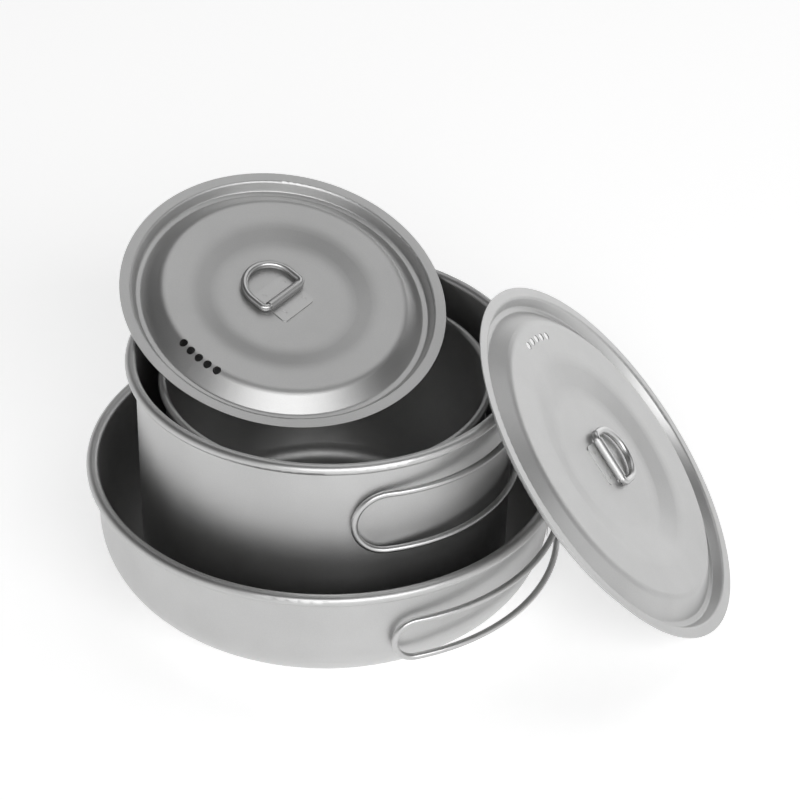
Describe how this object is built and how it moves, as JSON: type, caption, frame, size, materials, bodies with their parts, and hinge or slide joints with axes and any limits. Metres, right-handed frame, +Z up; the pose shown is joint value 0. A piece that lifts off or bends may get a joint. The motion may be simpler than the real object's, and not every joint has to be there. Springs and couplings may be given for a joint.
{
  "type": "cooking pot set",
  "caption": "Nesting titanium camp cookware: a frying pan and pots with folding wire handles, and pressed lids with vent holes and hinged rings.",
  "frame": {"origin": "centre of the frying pan's flat base, on the surface it stands on", "axes": "+Z up out of the vessels; +X towards the handle hinges and the leaning large lid; -Y the side the set is seen from"},
  "size_m": [0.3087, 0.2288, 0.1453],
  "materials": {
    "vessel": "bead-blasted titanium",
    "lid": "bead-blasted titanium",
    "bracket": "bead-blasted titanium sheet",
    "wire": "satin titanium wire"
  },
  "bodies": {
    "pan": {"frying_pan": "vessel", "frying_pan_bracket": "bracket"},
    "large_pot": {"large_pot": "vessel", "large_pot_bracket": "bracket"},
    "small_pot": {"small_pot": "vessel", "small_pot_bracket": "bracket"},
    "small_lid": {"small_lid": "lid", "small_lid_strap": "bracket"},
    "large_lid": {"large_lid": "lid", "large_lid_strap": "bracket"},
    "frying_pan_front_handle": {"frying_pan_front_handle": "wire"},
    "frying_pan_rear_handle": {"frying_pan_rear_handle": "wire"},
    "large_pot_front_handle": {"large_pot_front_handle": "wire"},
    "large_pot_rear_handle": {"large_pot_rear_handle": "wire"},
    "small_pot_front_handle": {"small_pot_front_handle": "wire"},
    "small_pot_rear_handle": {"small_pot_rear_handle": "wire"},
    "small_lid_ring": {"small_lid_ring": "wire"},
    "large_lid_ring": {"large_lid_ring": "wire"}
  },
  "joints": [
    {"name": "large_pot_lift", "type": "slide", "parent": "pan", "child": "large_pot", "axis": [0, 0, 1], "range_m": [0, 0.15]},
    {"name": "small_pot_lift", "type": "slide", "parent": "large_pot", "child": "small_pot", "axis": [0, 0, 1], "range_m": [0, 0.13]},
    {"name": "small_lid_lift", "type": "slide", "parent": "small_pot", "child": "small_lid", "axis": [0, 0, 1], "range_m": [0, 0.1]},
    {"name": "large_lid_lift", "type": "slide", "parent": "small_pot", "child": "large_lid", "axis": [0.7218, -0.113, 0.6828], "range_m": [0, 0.1]},
    {"name": "frying_pan_front_handle_fold", "type": "hinge", "parent": "pan", "child": "frying_pan_front_handle", "pos_m": [0.11125, -0.01044, 0.0307], "axis": [0, 0, 1], "range_deg": [0, 40]},
    {"name": "frying_pan_rear_handle_fold", "type": "hinge", "parent": "pan", "child": "frying_pan_rear_handle", "pos_m": [0.11125, 0.01044, 0.0307], "axis": [0, 0, -1], "range_deg": [0, 62]},
    {"name": "large_pot_front_handle_fold", "type": "hinge", "parent": "large_pot", "child": "large_pot_front_handle", "pos_m": [0.08989, -0.00783, 0.0823], "axis": [0, 0, 1], "range_deg": [0, 20]},
    {"name": "large_pot_rear_handle_fold", "type": "hinge", "parent": "large_pot", "child": "large_pot_rear_handle", "pos_m": [0.08989, 0.00783, 0.0823], "axis": [0, 0, -1], "range_deg": [0, 34]},
    {"name": "small_pot_front_handle_fold", "type": "hinge", "parent": "small_pot", "child": "small_pot_front_handle", "pos_m": [0.07634, -0.00616, 0.0725], "axis": [0, 0, 1], "range_deg": [0, 4]},
    {"name": "small_pot_rear_handle_fold", "type": "hinge", "parent": "small_pot", "child": "small_pot_rear_handle", "pos_m": [0.07634, 0.00616, 0.0725], "axis": [0, 0, -1], "range_deg": [0, 4]},
    {"name": "small_lid_ring_fold", "type": "hinge", "parent": "small_lid", "child": "small_lid_ring", "pos_m": [-0.02025, 0.04241, 0.11847], "axis": [0.6552, 0.7427, 0.1379], "range_deg": [0, 175]},
    {"name": "large_lid_ring_fold", "type": "hinge", "parent": "large_lid", "child": "large_lid_ring", "pos_m": [0.13215, -0.01786, 0.06866], "axis": [0.5439, -0.5175, -0.6606], "range_deg": [0, 175]}
  ]
}
